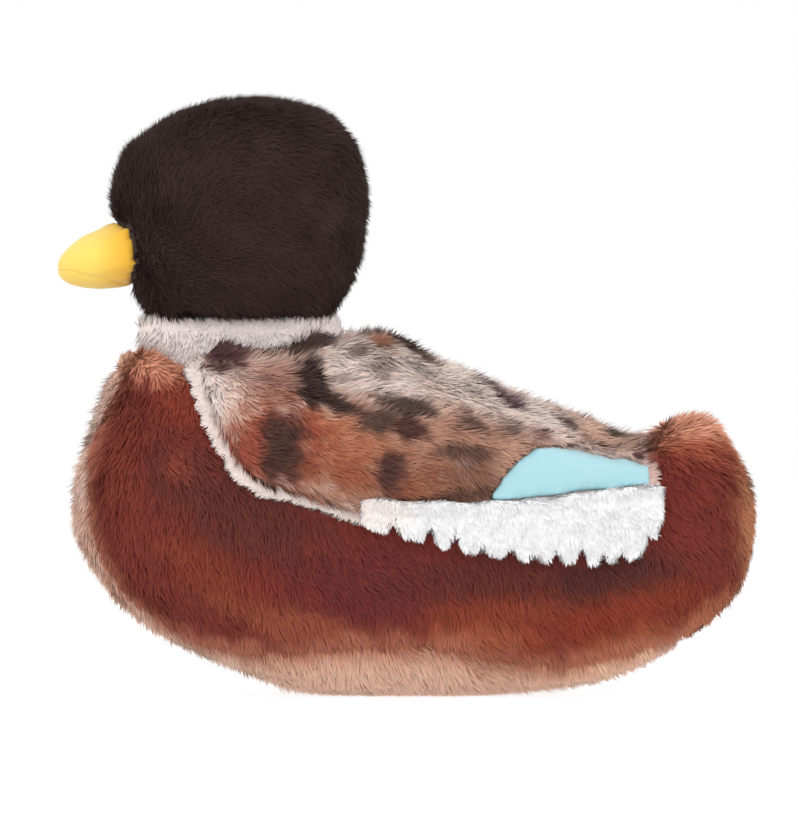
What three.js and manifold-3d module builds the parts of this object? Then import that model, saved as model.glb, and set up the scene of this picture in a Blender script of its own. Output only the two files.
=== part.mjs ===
import * as THREE from 'three';
import { mergeVertices } from 'three/addons/utils/BufferGeometryUtils.js';
import Module from 'manifold-3d';

// A stuffed mallard toy for dogs, in millimetres. It faces -X, its left side is at -Y,
// it is the same on both sides of Y = 0, and it rests on Z = 0.

// Fabric and clearances
const coverThickness = 7;
const beakFabric = 1.5;
const seamGap = 0.3;
const wingRestGap = 0.5;
const restDepth = 0.5;

// Body outlines: the back and the belly seen from the side as [x, z], and the plan as [x, half width]
const chestTip = [-135, 71];
const tailTip = [140, 73];
const backPoints = [
  [-131, 102],
  [-121, 127],
  [-108, 143],
  [-84, 153],
  [-44, 154.5],
  [-14, 149],
  [13, 137],
  [45, 124.5],
  [77, 113.5],
  [94, 105.5],
  [105, 111],
  [118, 115],
  [131, 105],
];
const bellyPoints = [
  [-130, 57],
  [-115, 38],
  [-91, 20],
  [-63, 9],
  [-44, 1.6],
  [-26, -restDepth],
  [18, -restDepth],
  [38, 0.8],
  [69, 4.5],
  [93, 13],
  [117, 27],
  [134, 48],
];
const planPoints = [
  [-131, 22],
  [-122, 36],
  [-105, 46],
  [-75, 51],
  [-10, 52],
  [50, 48],
  [90, 39],
  [115, 34],
  [131, 24],
];
const widestShare = 0.47;
const bodyUpperPower = 2.3;
const bodyLowerPower = 3;
const bodyRings = 23;
const bodySides = 20;

// Seams of the body seen from the side: the gusset's edge, and the front and rear ends of the back panel
const gussetPoints = [
  [-108, 142],
  [-116, 125],
  [-127, 95],
  [-123, 56],
  [-98, 30],
  [-65, 19],
  [-20, 22],
  [10, 22],
  [60, 13],
  [118, 28],
];
const backPanelFront = -62;
const backPanelRear = 97;

// Neck: a ball that is narrower across, sunk in the body, with a white band round its top
const neckX = -66;
const neckZ = 118;
const neckRadius = 52;
const neckHalfWidth = 34;
const neckTop = 153;
const bandBottom = 112;
const neckSides = 20;
const nodForward = 15;
const nodBack = 6;
const clearedTo = -14;

// Head
const headX = -67.5;
const headZ = 195;
const headLength = 105;
const headWidth = 92;
const headAbove = 47;
const headBelow = 54;
const headPower = 2.3;
const crownSetback = 6;
const crownFrom = 215;
const headRings = 11;
const headSides = 20;

// Beak: top and bottom outlines as [x, z], plan as [x, half width], and the seam over its lower strip
const beakTip = [-140.3, 172];
const beakTopPoints = [
  [-138.5, 177],
  [-131, 184],
  [-122, 188],
  [-112, 193.5],
  [-98, 197],
];
const beakBottomPoints = [
  [-138, 168],
  [-132, 165.7],
  [-122, 164.8],
  [-112, 166.3],
  [-98, 168],
];
const beakPlanPoints = [
  [-138.5, 6.5],
  [-132, 13],
  [-120, 19.5],
  [-108, 23],
  [-98, 24],
];
const beakSeamTip = [-136, 171.7];
const beakSeamRoot = [-98, 163.5];
const beakRings = 7;
const beakSides = 14;

// Wings, seen from the side as [x, z]: the hinge seam, the free edge, the trim's upper edge, the patch
const hingeFront = [-84.4, 141.2];
const hingeRear = [99.2, 99.5];
const wingEdgePoints = [
  [-87, 130],
  [-77, 103],
  [-64, 85],
  [-45, 78],
  [-17, 69],
  [21, 59],
  [60, 54.5],
  [87, 55],
  [100, 66],
  [102, 84],
];
const trimFront = -19;
const trimTopPoints = [
  [-19, 79.5],
  [20, 78.5],
  [53, 80.2],
  [75, 83.2],
  [106, 84.6],
];
const patchPoints = [
  [30, 76],
  [38, 89],
  [50, 100],
  [68, 102.8],
  [84, 99],
  [96, 94.5],
  [96, 76],
];
const liningThickness = 3;
const liningRim = 3.5;
const coverDepth = 7;
const patchDepth = 5;
const trimDepth = 8;
const seamDepth = 2;
const fullDepthBelow = 26;

// Squeaker: a blown disc with a neck, a reed holder plugged in it, and the reed
const squeakerX = 16;
const squeakerZ = 10.5;
const bulbRadius = 23;
const bulbHeight = 18;
const bulbWall = 1.2;
const bulbEdge = 4;
const spoutRadius = 5.5;
const spoutHeight = 5;
const spoutWall = 1.5;
const holderFlange = 1.2;
const holderDepth = 7;
const reedBore = 1.8;
const reedWidth = 2.8;
const reedThickness = 0.5;
const reedLength = 6;
const squeakerSides = 16;

const farAway = 400;
const wasm = await Module();
wasm.setup();

// A closed three.js geometry as a solid for cuts and joins
function solidOf(geometry) {
  const bare = geometry.clone();
  bare.deleteAttribute('normal');
  bare.deleteAttribute('uv');
  const merged = mergeVertices(bare);
  return new wasm.Manifold(new wasm.Mesh({
    numProp: 3,
    vertProperties: Float32Array.from(merged.attributes.position.array),
    triVerts: Uint32Array.from(merged.index.array),
  }));
}

function geometryOf(solid) {
  const mesh = solid.getMesh();
  const geometry = new THREE.BufferGeometry();
  geometry.setAttribute('position', new THREE.BufferAttribute(mesh.vertProperties, 3));
  geometry.setIndex(new THREE.BufferAttribute(mesh.triVerts, 1));
  return geometry;
}

function curveThrough(points) {
  return new THREE.SplineCurve(points.map(([x, y]) => new THREE.Vector2(x, y)));
}

// The height of a curve that runs towards +X, at a given x
function heightAt(curve, x) {
  let low = 0;
  let high = 1;
  for (let step = 0; step < 40; step += 1) {
    const middle = (low + high) / 2;
    if (curve.getPoint(middle).x < x) {
      low = middle;
    } else {
      high = middle;
    }
  }
  return curve.getPoint((low + high) / 2).y;
}

function signedPower(value, power) {
  return Math.sign(value) * Math.abs(value) ** (2 / power);
}

// A closed skin over rings of equal count, with one point at each end
function closedLoft(firstPole, rings, lastPole) {
  const sides = rings[0].length;
  const corners = [firstPole, ...rings.flat(), lastPole];
  const positions = new Float32Array(corners.flatMap((corner) => [corner.x, corner.y, corner.z]));
  const faces = [];
  for (let side = 0; side < sides; side += 1) {
    const next = (side + 1) % sides;
    faces.push(0, 1 + next, 1 + side);
    for (let ring = 0; ring < rings.length - 1; ring += 1) {
      const here = 1 + ring * sides;
      const beyond = here + sides;
      faces.push(here + side, here + next, beyond + next);
      faces.push(here + side, beyond + next, beyond + side);
    }
    const last = 1 + (rings.length - 1) * sides;
    faces.push(last + side, last + next, corners.length - 1);
  }
  const geometry = new THREE.BufferGeometry();
  geometry.setAttribute('position', new THREE.BufferAttribute(positions, 3));
  geometry.setIndex(faces);
  return geometry;
}

// The same skin moved along its own normals, outward where the depth is positive
function movedOut(geometry, depthAt) {
  const moved = geometry.clone();
  moved.computeVertexNormals();
  const place = new THREE.Vector3();
  const normal = new THREE.Vector3();
  for (let corner = 0; corner < moved.attributes.position.count; corner += 1) {
    place.fromBufferAttribute(geometry.attributes.position, corner);
    normal.fromBufferAttribute(moved.attributes.normal, corner);
    place.addScaledVector(normal, depthAt(place));
    moved.attributes.position.setXYZ(corner, place.x, place.y, place.z);
  }
  return moved;
}

function offsetSolid(geometry, depth) {
  return solidOf(movedOut(geometry, () => depth));
}

// An outline in the side view, cut right through from one side to the other
function sidePrism(points, from = -farAway, to = farAway) {
  const shape = new THREE.Shape(points.map(([x, z]) => new THREE.Vector2(x, z)));
  const geometry = new THREE.ExtrudeGeometry(shape, { depth: to - from, bevelEnabled: false });
  geometry.rotateX(Math.PI / 2);
  geometry.translate(0, to, 0);
  return solidOf(geometry);
}

function block(low, high) {
  const geometry = new THREE.BoxGeometry(high[0] - low[0], high[1] - low[1], high[2] - low[2]);
  geometry.translate((low[0] + high[0]) / 2, (low[1] + high[1]) / 2, (low[2] + high[2]) / 2);
  return solidOf(geometry);
}

function turned(profile, sides, x, z) {
  const geometry = new THREE.LatheGeometry(profile.map(([r, h]) => new THREE.Vector2(r, h)), sides);
  geometry.rotateX(Math.PI / 2);
  geometry.translate(x, 0, z);
  return geometry;
}

// A closed outline with every edge moved out by a distance, or in where the distance is negative
function grownOutline(points, distance) {
  const loop = points.map(([x, z]) => new THREE.Vector2(x, z));
  const outward = THREE.ShapeUtils.area(loop) > 0 ? 1 : -1;
  const normalOf = (from, to) => {
    const along = to.clone().sub(from).normalize();
    return new THREE.Vector2(along.y, -along.x).multiplyScalar(outward);
  };
  return loop.map((corner, index) => {
    const before = loop[(index + loop.length - 1) % loop.length];
    const after = loop[(index + 1) % loop.length];
    const first = normalOf(before, corner);
    const second = normalOf(corner, after);
    const shift = first.clone().add(second).multiplyScalar(distance / (1 + first.dot(second)));
    return [corner.x + shift.x, corner.y + shift.y];
  });
}

function curvePoints(points, count) {
  return curveThrough(points).getPoints(count).map((point) => [point.x, point.y]);
}

// Body skin: rings across the length, spaced along the back, each with a level side above and below
const backCurve = curveThrough([chestTip, ...backPoints, tailTip]);
const bellyCurve = curveThrough([chestTip, ...bellyPoints, tailTip]);
const planCurve = curveThrough([[chestTip[0], 0], ...planPoints, [tailTip[0], 0]]);

function bodyRing(x) {
  const top = heightAt(backCurve, x);
  const bottom = heightAt(bellyCurve, x);
  const halfWidth = heightAt(planCurve, x);
  const middle = bottom + widestShare * (top - bottom);
  const steepest = Math.cos(Math.PI / bodySides);
  const ring = [];
  for (let side = 0; side < bodySides; side += 1) {
    const angle = (2 * Math.PI * (side + 0.5)) / bodySides;
    const upper = Math.sin(angle) > 0;
    const power = upper ? bodyUpperPower : bodyLowerPower;
    const reach = (upper ? top - middle : middle - bottom) / signedPower(steepest, power);
    const y = halfWidth * signedPower(Math.cos(angle), power);
    ring.push(new THREE.Vector3(x, y, middle + reach * signedPower(Math.sin(angle), power)));
  }
  return ring;
}

function makeBodySkin() {
  const stations = backCurve.getSpacedPoints(bodyRings + 1).slice(1, -1);
  const rings = stations.map((station) => bodyRing(station.x));
  const front = new THREE.Vector3(chestTip[0], 0, chestTip[1]);
  const rear = new THREE.Vector3(tailTip[0], 0, tailTip[1]);
  return closedLoft(front, rings, rear);
}

// Neck ball with its round outline in the side view, so that it can turn in its socket
function neckBall(radius, halfWidth) {
  const geometry = new THREE.SphereGeometry(radius, neckSides, neckSides / 2);
  geometry.scale(1, halfWidth / radius, 1);
  geometry.translate(neckX, 0, neckZ);
  return solidOf(geometry);
}

// The socket's flats stay outside the ball's corners while the ball turns
function neckSocket() {
  const flatsOut = 1 / Math.cos(Math.PI / neckSides);
  return neckBall((neckRadius + seamGap) * flatsOut, (neckHalfWidth + seamGap) * flatsOut);
}

// The space above the body that the head's base sweeps as it nods, up to the shoulder behind it
function nodRoom() {
  const reach = neckTop - neckZ;
  const forward = THREE.MathUtils.degToRad(nodForward);
  const back = THREE.MathUtils.degToRad(nodBack);
  const forwardHeight = (x) => neckZ + (reach + (x - neckX) * Math.sin(forward)) / Math.cos(forward);
  const backHeight = (x) => neckZ + (reach - (x - neckX) * Math.sin(back)) / Math.cos(back);
  return sidePrism([
    [chestTip[0], forwardHeight(chestTip[0])],
    [neckX, neckTop],
    [clearedTo, backHeight(clearedTo)],
    [clearedTo, farAway],
    [chestTip[0], farAway],
  ]);
}

const belowFloor = block([-farAway, -farAway, -farAway], [farAway, farAway, 0]);
const leftHalf = block([-farAway, -farAway, -farAway], [farAway, -seamGap / 2, farAway]);
const rightHalf = block([-farAway, seamGap / 2, -farAway], [farAway, farAway, farAway]);

const bodySkin = makeBodySkin();
const socket = neckSocket();

// Squeaker, standing on its disc with the spout up
const bulbTop = squeakerZ + bulbHeight;
const spoutTop = bulbTop + spoutHeight;
const holderTop = spoutTop + seamGap + holderFlange;

function makeBulb() {
  const inside = bulbRadius - bulbWall;
  const mouth = spoutRadius - spoutWall;
  return turned([
    [0, 0],
    [bulbRadius - bulbEdge, 0],
    [bulbRadius, bulbEdge],
    [bulbRadius, bulbHeight - bulbEdge],
    [bulbRadius - bulbEdge, bulbHeight],
    [spoutRadius, bulbHeight],
    [spoutRadius, bulbHeight + spoutHeight],
    [mouth, bulbHeight + spoutHeight],
    [mouth, bulbHeight - bulbWall],
    [inside - bulbEdge, bulbHeight - bulbWall],
    [inside, bulbHeight - bulbWall - bulbEdge],
    [inside, bulbWall + bulbEdge],
    [inside - bulbEdge, bulbWall],
    [0, bulbWall],
  ], squeakerSides, squeakerX, squeakerZ);
}

function makeHolder() {
  const plug = spoutRadius - spoutWall - seamGap;
  return turned([
    [reedBore, 0],
    [plug, 0],
    [plug, holderDepth - holderFlange],
    [spoutRadius, holderDepth - holderFlange],
    [spoutRadius, holderDepth],
    [reedBore, holderDepth],
    [reedBore, 0],
  ], squeakerSides, squeakerX, holderTop - holderDepth);
}

function makeReed() {
  const geometry = new THREE.BoxGeometry(reedWidth, reedThickness, reedLength);
  geometry.translate(squeakerX, 0, holderTop - holderDepth / 2);
  return geometry;
}

// The pocket in the stuffing is open below, where the gusset closes it
function squeakerPocket() {
  return solidOf(turned([
    [0, -farAway],
    [bulbRadius + seamGap, -farAway],
    [bulbRadius + seamGap, bulbTop + seamGap],
    [spoutRadius + seamGap, bulbTop + seamGap],
    [spoutRadius + seamGap, holderTop + seamGap],
    [0, holderTop + seamGap],
  ], squeakerSides, squeakerX, 0));
}

// Body cover panels and stuffing
function hingeHeight(x) {
  const slope = (hingeRear[1] - hingeFront[1]) / (hingeRear[0] - hingeFront[0]);
  return hingeFront[1] + slope * (x - hingeFront[0]);
}

function backPanelOutline() {
  return [
    [backPanelFront, hingeHeight(backPanelFront)],
    [backPanelRear, hingeHeight(backPanelRear)],
    [backPanelRear, farAway],
    [backPanelFront, farAway],
  ];
}

function gussetOutline() {
  const edge = curvePoints(gussetPoints, 18);
  return [
    ...edge,
    [gussetPoints.at(-1)[0], -farAway],
    [-farAway, -farAway],
    [-farAway, gussetPoints[0][1]],
  ];
}

const bodyCover = solidOf(bodySkin)
  .subtract(offsetSolid(bodySkin, -coverThickness))
  .subtract(belowFloor)
  .subtract(socket)
  .subtract(nodRoom());
const backZone = sidePrism(backPanelOutline());
const gussetZone = sidePrism(gussetOutline());
const sideCover = bodyCover
  .subtract(sidePrism(grownOutline(backPanelOutline(), seamGap)))
  .subtract(sidePrism(grownOutline(gussetOutline(), seamGap)));
const bodyStuffing = offsetSolid(bodySkin, -coverThickness - seamGap)
  .subtract(socket)
  .subtract(squeakerPocket());

// Neck band and stuffing
const aboveBand = block([-farAway, -farAway, bandBottom], [farAway, farAway, neckTop]);
const belowBand = block([-farAway, -farAway, -farAway], [farAway, farAway, bandBottom - seamGap]);
const belowNeckTop = block([-farAway, -farAway, -farAway], [farAway, farAway, neckTop]);
const wholeBall = neckBall(neckRadius, neckHalfWidth);
const neckBand = wholeBall
  .subtract(neckBall(neckRadius - coverThickness, neckHalfWidth - coverThickness))
  .intersect(aboveBand);
const neckCore = coverThickness + seamGap;
const neckStuffing = neckBall(neckRadius - neckCore, neckHalfWidth - neckCore)
  .intersect(belowNeckTop)
  .add(wholeBall.intersect(belowBand));

// Head: rings at rising heights, the crown set back a little
function headRing(angle) {
  const reach = angle > 0 ? headAbove : headBelow;
  const z = headZ + reach * signedPower(Math.sin(angle), headPower);
  const share = signedPower(Math.cos(angle), headPower);
  const rise = Math.max(0, z - crownFrom) / (headZ + headAbove - crownFrom);
  const centre = headX + crownSetback * rise ** 1.5;
  const ring = [];
  for (let side = 0; side < headSides; side += 1) {
    const turn = (2 * Math.PI * side) / headSides;
    const x = centre + (headLength / 2) * share * Math.cos(turn);
    ring.push(new THREE.Vector3(x, (headWidth / 2) * share * Math.sin(turn), z));
  }
  return ring;
}

function makeHeadSkin() {
  const rings = [];
  for (let level = 1; level <= headRings; level += 1) {
    rings.push(headRing(Math.PI * (level / (headRings + 1) - 0.5)));
  }
  const bottom = new THREE.Vector3(headX, 0, headZ - headBelow);
  const top = new THREE.Vector3(headX + crownSetback, 0, headZ + headAbove);
  return closedLoft(bottom, rings, top);
}

const headBase = neckTop + seamGap;
const headSkin = makeHeadSkin();
const belowHead = block([-farAway, -farAway, -farAway], [farAway, farAway, headBase]);
const headCover = solidOf(headSkin)
  .subtract(offsetSolid(headSkin, -coverThickness))
  .subtract(belowHead);
const headStuffing = offsetSolid(headSkin, -coverThickness - seamGap).subtract(belowHead);

// Beak: rings from the tip back into the head, whose skin then trims its root
function makeBeakSkin() {
  const topCurve = curveThrough([beakTip, ...beakTopPoints]);
  const bottomCurve = curveThrough([beakTip, ...beakBottomPoints]);
  const beakPlan = curveThrough([[beakTip[0], 0], ...beakPlanPoints]);
  const root = beakTopPoints.at(-1)[0];
  const rings = [];
  for (let step = 1; step <= beakRings; step += 1) {
    const x = beakTip[0] + (root - beakTip[0]) * (step / beakRings) ** 1.7;
    const top = heightAt(topCurve, x);
    const bottom = heightAt(bottomCurve, x);
    const halfWidth = heightAt(beakPlan, x);
    const ring = [];
    for (let side = 0; side < beakSides; side += 1) {
      const turn = (2 * Math.PI * side) / beakSides;
      const z = (top + bottom) / 2 + ((top - bottom) / 2) * Math.sin(turn);
      ring.push(new THREE.Vector3(x, halfWidth * Math.cos(turn), z));
    }
    rings.push(ring);
  }
  const tip = new THREE.Vector3(beakTip[0], 0, beakTip[1]);
  const end = new THREE.Vector3(root, 0, (beakTopPoints.at(-1)[1] + beakBottomPoints.at(-1)[1]) / 2);
  return closedLoft(tip, rings, end);
}

const beakSkin = makeBeakSkin();
const headWithGap = offsetSolid(headSkin, seamGap);
const beakCover = solidOf(beakSkin)
  .subtract(offsetSolid(beakSkin, -beakFabric))
  .subtract(headWithGap);
const beakStuffing = offsetSolid(beakSkin, -beakFabric - seamGap).subtract(headWithGap);

// The half of the side view under the beak's seam, moved down by a gap
function underBeakSeam(gap) {
  return sidePrism([
    [-farAway, beakSeamTip[1] - gap],
    [beakSeamTip[0], beakSeamTip[1] - gap],
    [beakSeamRoot[0], beakSeamRoot[1] - gap],
    [beakSeamRoot[0], -farAway],
    [-farAway, -farAway],
  ]);
}

// Wings: layers over the body's flank, within outlines in the side view
function wingZone(inset) {
  const edge = curvePoints([hingeFront, ...wingEdgePoints, hingeRear], 26);
  const loop = [...edge, [hingeRear[0], hingeRear[1] + 30], [hingeFront[0], hingeFront[1] + 30]];
  const flank = sidePrism(inset > 0 ? grownOutline(loop, -inset) : loop, -farAway, 0);
  return flank.intersect(sidePrism([
    [-farAway, hingeHeight(-farAway)],
    [-farAway, -farAway],
    [farAway, -farAway],
    [farAway, hingeHeight(farAway)],
  ]));
}

// How far out a wing layer reaches: thin at the hinge seam, full further down
function wingDepth(fullDepth) {
  const inner = wingRestGap + liningThickness + seamGap;
  return (place) => {
    const below = (hingeHeight(place.x) - place.z) / fullDepthBelow;
    const swell = Math.sin((Math.PI / 2) * THREE.MathUtils.clamp(below, 0, 1));
    return inner + seamDepth + (fullDepth - seamDepth) * swell;
  };
}

const liningOutside = offsetSolid(bodySkin, wingRestGap + liningThickness);
const coverInside = offsetSolid(bodySkin, wingRestGap + liningThickness + seamGap);

function outerLayer(fullDepth, inset) {
  return solidOf(movedOut(bodySkin, wingDepth(fullDepth)))
    .subtract(coverInside)
    .intersect(wingZone(inset))
    .subtract(socket);
}

function trimOutline() {
  const upper = curvePoints(trimTopPoints, 8);
  return [...upper, [upper.at(-1)[0], 0], [trimFront, 0]];
}

const wingLining = liningOutside
  .subtract(offsetSolid(bodySkin, wingRestGap))
  .intersect(wingZone(0))
  .subtract(socket);
const patchOutline = curvePoints(patchPoints, 12);
const trimZone = sidePrism(trimOutline());
const trimZoneWithGap = sidePrism(grownOutline(trimOutline(), seamGap));
const patchZone = sidePrism(patchOutline);
const patchZoneWithGap = sidePrism(grownOutline(patchOutline, seamGap));
const wingTrim = outerLayer(trimDepth, 0).intersect(trimZone);
const wingPatch = outerLayer(patchDepth, liningRim).intersect(patchZone).subtract(trimZoneWithGap);
const wingCover = outerLayer(coverDepth, liningRim).subtract(trimZoneWithGap).subtract(patchZoneWithGap);

// The same piece for the other side, with its faces turned to point out again
function mirrored(geometry) {
  const other = geometry.clone();
  other.scale(1, -1, 1);
  const faces = other.index.array.slice();
  for (let face = 0; face < faces.length; face += 3) {
    [faces[face + 1], faces[face + 2]] = [faces[face + 2], faces[face + 1]];
  }
  other.setIndex(new THREE.BufferAttribute(faces, 1));
  return other;
}

const group = new THREE.Group();

function addPiece(name, geometry, color, roughness) {
  const material = new THREE.MeshStandardMaterial({ color, roughness, metalness: 0 });
  const mesh = new THREE.Mesh(geometry, material);
  mesh.name = name;
  group.add(mesh);
}

const chestnut = '#6f2f2a';
const tan = '#cd967d';
const spotted = '#a57869';
const white = '#f3f6fa';
const cream = '#dfcdc8';
const dark = '#352725';
const yellow = '#ffdc6a';
const paleBlue = '#b9e3ec';
const fibre = '#efece6';

addPiece('body_side_left', geometryOf(sideCover.intersect(leftHalf)), chestnut, 0.9);
addPiece('body_side_right', geometryOf(sideCover.intersect(rightHalf)), chestnut, 0.9);
addPiece('belly_gusset', geometryOf(bodyCover.intersect(gussetZone)), tan, 0.9);
addPiece('back_panel', geometryOf(bodyCover.intersect(backZone)), spotted, 0.9);
addPiece('body_stuffing', geometryOf(bodyStuffing), fibre, 1);
addPiece('squeaker_bulb', makeBulb(), '#f2f2ee', 0.4);
addPiece('squeaker_reed_holder', makeHolder(), '#d8dadc', 0.4);
addPiece('squeaker_reed', makeReed(), '#e8e8e8', 0.3);
addPiece('neck_band', geometryOf(neckBand), white, 0.9);
addPiece('neck_stuffing', geometryOf(neckStuffing), fibre, 1);
addPiece('head_side_left', geometryOf(headCover.intersect(leftHalf)), dark, 0.9);
addPiece('head_side_right', geometryOf(headCover.intersect(rightHalf)), dark, 0.9);
addPiece('head_stuffing', geometryOf(headStuffing), fibre, 1);
addPiece('beak_upper', geometryOf(beakCover.subtract(underBeakSeam(0))), yellow, 0.7);
addPiece('beak_lower', geometryOf(beakCover.intersect(underBeakSeam(seamGap))), yellow, 0.7);
addPiece('beak_stuffing', geometryOf(beakStuffing), fibre, 1);

const wingPieces = [
  ['cover', wingCover, spotted, 0.9],
  ['speculum', wingPatch, paleBlue, 0.35],
  ['trim', wingTrim, white, 0.9],
  ['lining', wingLining, cream, 0.9],
];
for (const [name, solid, color, roughness] of wingPieces) {
  const left = geometryOf(solid);
  addPiece(`wing_left_${name}`, left, color, roughness);
  addPiece(`wing_right_${name}`, mirrored(left), color, roughness);
}

export default group;
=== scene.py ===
import math
from collections import namedtuple

import bpy
import numpy as np
from mathutils import Matrix, Vector
from mathutils.bvhtree import BVHTree
from mathutils.kdtree import KDTree


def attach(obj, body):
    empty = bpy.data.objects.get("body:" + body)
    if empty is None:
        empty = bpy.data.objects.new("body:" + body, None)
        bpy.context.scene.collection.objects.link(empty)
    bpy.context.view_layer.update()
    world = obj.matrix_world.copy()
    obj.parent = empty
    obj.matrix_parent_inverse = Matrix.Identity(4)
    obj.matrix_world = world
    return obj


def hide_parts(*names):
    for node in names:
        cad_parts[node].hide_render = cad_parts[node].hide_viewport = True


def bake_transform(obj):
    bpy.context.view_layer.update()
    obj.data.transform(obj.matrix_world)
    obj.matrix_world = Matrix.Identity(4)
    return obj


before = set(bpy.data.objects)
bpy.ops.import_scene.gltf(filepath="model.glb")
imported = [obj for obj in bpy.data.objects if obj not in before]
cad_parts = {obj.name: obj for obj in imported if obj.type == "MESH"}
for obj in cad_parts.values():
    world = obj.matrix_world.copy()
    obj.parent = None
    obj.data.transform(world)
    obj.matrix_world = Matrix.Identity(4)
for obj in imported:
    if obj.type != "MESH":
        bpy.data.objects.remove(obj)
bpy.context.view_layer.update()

MM = 0.001

# Where the photographer stood: square on to the toy's left side, with a long lens
picture_middle = (-3.2 * MM, 115.2 * MM)
picture_width = 319.2 * MM
picture_plane = -20 * MM
camera_distance = 2500 * MM
sensor_width = 36.0

# How deep each pile stands over its backing cloth, which lies that far inside the CAD skin
body_pile_depth = 3.0 * MM
head_pile_depth = 2.0 * MM
neck_pile_depth = 2.0 * MM
wing_pile_depth = 3.0 * MM
trim_pile_depth = 2.0 * MM

# Sewing
air_pressure = 4.0
air_frames = 20
backing = 1.2 * MM
seam_pull = 1.6 * MM
seam_reach = 3.5 * MM
beak_cloth = 0.8 * MM
beak_fullness = 1.1 * MM
beak_root_spread = 2.4 * MM
beak_root_rise = 3.2 * MM
tail_spread = 3.6 * MM
chest_spread = 2.0 * MM
shoulder_spread = 2.6 * MM
rump_spread = 1.4 * MM
keel_spread = 1.4 * MM
belly_spread = 1.0 * MM
tail_rise = 2.0 * MM
neckline_height = 131 * MM
neckline_dip = 4.5 * MM
neckline_rise = 10 * MM
neckline_lean = 0.4 * neckline_rise
neckline_at = -92 * MM
neckline_reach = 8 * MM
crown_spread = 1.4 * MM
neck_bulge = 3 * MM

# Fibres shade each other, so each is dyed brighter than the pile is to look
fibre_lift = 1.35
brightest_dye = 0.96
dyed_at = 0.6
edge_wobble = 0.2

# Places that the toy's own pieces share with the CAD model
neck_pivot = Vector((-66 * MM, 0, 118 * MM))
hinge_front = Vector((-84.4 * MM, -31 * MM, 141.2 * MM))
hinge_rear = Vector((99.2 * MM, -16 * MM, 99.5 * MM))
wing_full_below = 26 * MM
beak_root = Vector((-114 * MM, 0, 178 * MM))
wing_middle = Vector((8 * MM, -55 * MM, 118 * MM))
sewn_edge = 2.5 * MM
sewn_strip = 14 * MM
ground_clearance = 0.3 * MM

# How a wing's layers lie: what is left of the pile at its top, how far its cover is lifted and leaned on
# the neck in front, how far its lining is tucked behind the trim, and how its top is sewn to the body
least_pile = 0.5 * MM
cover_lift = 3.4 * MM
cover_top_lift = 1.5 * MM
cover_lean = 5 * MM
lining_tuck = 5 * MM
beside = 2.5 * MM
edge_depth = 4 * MM
edge_reach = 6 * MM
widest_gap = 4 * MM
sewn_overlap = 2.6 * MM

# A pile: how many strands, their length, width at the root and lean from upright in degrees, the size of
# a tuft and how far it gathers, the share of proud strands, how mottled it is and which way it is brushed
Pile = namedtuple("Pile", "count length width lean tuft gather stray mottle lay")


# Selecting, copying and moving meshes

def alone(piece):
    """Selects one piece and nothing else."""
    bpy.ops.object.select_all(action="DESELECT")
    piece.select_set(True)
    bpy.context.view_layer.objects.active = piece
    return piece


def applied(piece, kind, **settings):
    """Adds a modifier with its settings and applies it."""
    modifier = piece.modifiers.new(kind.title(), kind)
    for setting, value in settings.items():
        setattr(modifier, setting, value)
    alone(piece)
    bpy.ops.object.modifier_apply(modifier=modifier.name)
    return piece


def in_edit_mode(operator, **settings):
    """Runs a mesh operator on all of the active piece."""
    bpy.ops.object.mode_set(mode="EDIT")
    bpy.ops.mesh.select_all(action="SELECT")
    operator(**settings)
    bpy.ops.object.mode_set(mode="OBJECT")


def placed(label, data):
    """A new object in the scene."""
    made = bpy.data.objects.new(label, data)
    bpy.context.scene.collection.objects.link(made)
    return made


def copied(label, *nodes):
    """One piece from copies of CAD nodes, with their loose triangles merged."""
    bpy.ops.object.select_all(action="DESELECT")
    for node in nodes:
        copy = placed(label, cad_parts[node].data.copy())
        copy.select_set(True)
        bpy.context.view_layer.objects.active = copy
    if len(nodes) > 1:
        bpy.ops.object.join()
    piece = bpy.context.view_layer.objects.active
    piece.name = label
    piece.data.materials.clear()
    in_edit_mode(bpy.ops.mesh.remove_doubles, threshold=0.01 * MM)
    return piece


def read(rows, field, each=1, kind=np.float32):
    """A property of all rows of a mesh, with so many numbers for each row."""
    found = np.empty(len(rows) * each, kind)
    rows.foreach_get(field, found)
    return found


def corners(piece):
    return read(piece.data.vertices, "co", 3).reshape(-1, 3).astype(float)


def corner_normals(piece):
    return read(piece.data.vertex_normals, "vector", 3).reshape(-1, 3).astype(float)


def move_corners(piece, places):
    piece.data.vertices.foreach_set("co", places.astype(np.float32).ravel())
    piece.data.update()


def reshaped(piece, reshape):
    """Lets a function change the places of a piece's corners."""
    places = corners(piece)
    reshape(places, corner_normals(piece))
    move_corners(piece, places)


def tree_over(meshes):
    """A search tree over the faces of meshes."""
    places, faces = [], []
    for mesh in meshes:
        faces += [[len(places) + corner for corner in face.vertices] for face in mesh.polygons]
        places += [corner.co.copy() for corner in mesh.vertices]
    return BVHTree.FromPolygons(places, faces)


def tree_of(*nodes):
    """A search tree over the faces of CAD nodes."""
    return tree_over([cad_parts[node].data for node in nodes])


def away_from(tree, places):
    """How far places lie from the nearest face of a tree."""
    return np.array([tree.find_nearest(Vector(place))[3] for place in places])


def point_tree(places):
    """A search tree over places."""
    tree = KDTree(len(places))
    for number, place in enumerate(places):
        tree.insert(place, number)
    tree.balance()
    return tree


def biggest_part(piece):
    """Keeps the largest loose part of a piece, which is its outer skin."""
    label = piece.name
    alone(piece)
    in_edit_mode(bpy.ops.mesh.separate, type="LOOSE")
    parts = sorted(bpy.context.selected_objects, key=lambda part: len(part.data.vertices))
    for part in parts[:-1]:
        bpy.data.objects.remove(part)
    parts[-1].name = label
    return alone(parts[-1])


def mirrored(piece, label):
    """The same piece for the toy's right side."""
    other = placed(label, piece.data.copy())
    other.data.transform(Matrix.Scale(-1, 4, (0, 1, 0)))
    other.data.flip_normals()
    return other


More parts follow.
